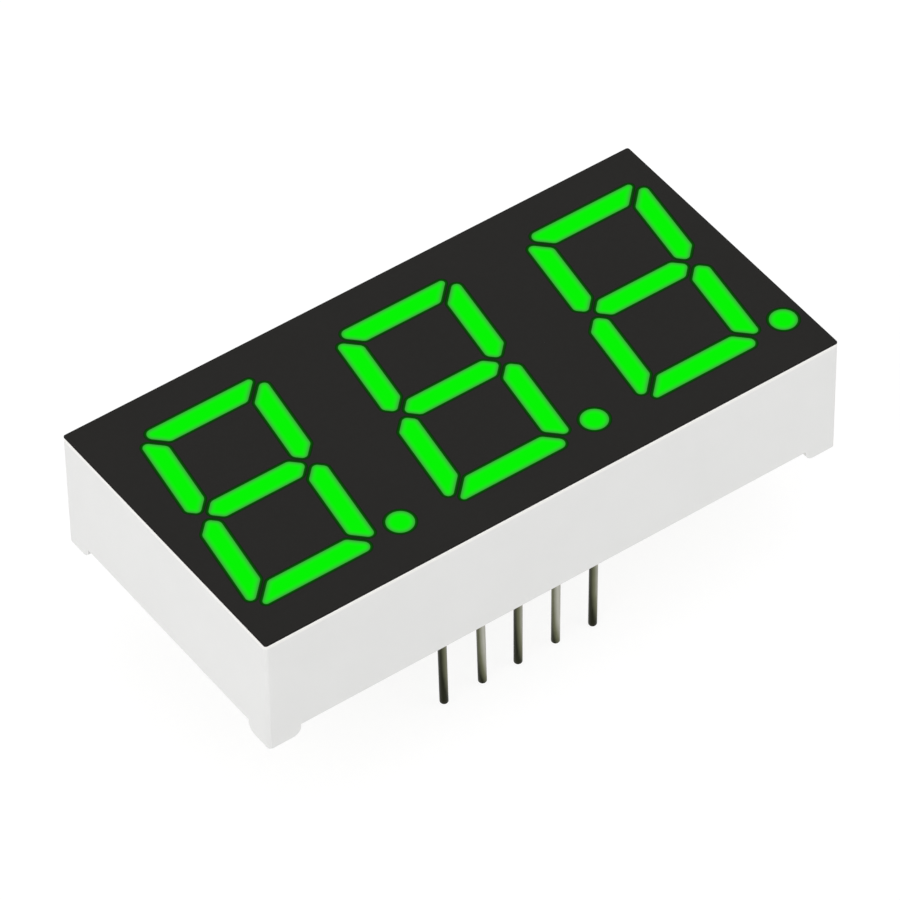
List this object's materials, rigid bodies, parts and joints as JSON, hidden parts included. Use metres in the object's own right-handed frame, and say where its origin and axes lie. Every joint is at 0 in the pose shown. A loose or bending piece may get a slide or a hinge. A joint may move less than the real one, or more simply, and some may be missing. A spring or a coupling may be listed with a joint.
{
  "type": "seven segment display",
  "caption": "Row of seven segment digits with decimal points in a flat white block with a black face, standing on two rows of round solder pins.",
  "frame": {"origin": "under the middle of the body, at the level of the pin tips", "axes": "+X along the row of digits as they are read, +Y towards the digits' tops, +Z out of the display face, away from the pins"},
  "size_m": [0.0376, 0.019, 0.0144],
  "materials": {
    "housing_white": "white moulded polycarbonate, fine satin surface",
    "face_black": "matt black printed ink",
    "segment_green": "diffusing resin, lit green",
    "clear_resin": "clear casting resin, smooth",
    "board_laminate": "glass laminate with etched copper",
    "led_chip": "bare light emitting crystal",
    "bond_wire": "bright fine wire",
    "tinned_pin": "tin-plated wire, dull"
  },
  "bodies": {
    "root": {"reflector_housing": "housing_white", "face_ink": "face_black", "circuit_board": "board_laminate", "potting_resin": "clear_resin", "digit_1_segment_a": "segment_green", "digit_1_segment_b": "segment_green", "digit_1_segment_c": "segment_green", "digit_1_segment_d": "segment_green", "digit_1_segment_e": "segment_green", "digit_1_segment_f": "segment_green", "digit_1_segment_g": "segment_green", "digit_1_decimal_point": "segment_green", "digit_1_led_chips": "led_chip", "digit_1_bond_wires": "bond_wire", "digit_2_segment_a": "segment_green", "digit_2_segment_b": "segment_green", "digit_2_segment_c": "segment_green", "digit_2_segment_d": "segment_green", "digit_2_segment_e": "segment_green", "digit_2_segment_f": "segment_green", "digit_2_segment_g": "segment_green", "digit_2_decimal_point": "segment_green", "digit_2_led_chips": "led_chip", "digit_2_bond_wires": "bond_wire", "digit_3_segment_a": "segment_green", "digit_3_segment_b": "segment_green", "digit_3_segment_c": "segment_green", "digit_3_segment_d": "segment_green", "digit_3_segment_e": "segment_green", "digit_3_segment_f": "segment_green", "digit_3_segment_g": "segment_green", "digit_3_decimal_point": "segment_green", "digit_3_led_chips": "led_chip", "digit_3_bond_wires": "bond_wire", "pin_1": "tinned_pin", "pin_2": "tinned_pin", "pin_3": "tinned_pin", "pin_4": "tinned_pin", "pin_5": "tinned_pin", "pin_7": "tinned_pin", "pin_8": "tinned_pin", "pin_9": "tinned_pin", "pin_10": "tinned_pin", "pin_11": "tinned_pin", "pin_12": "tinned_pin"}
  },
  "joints": []
}
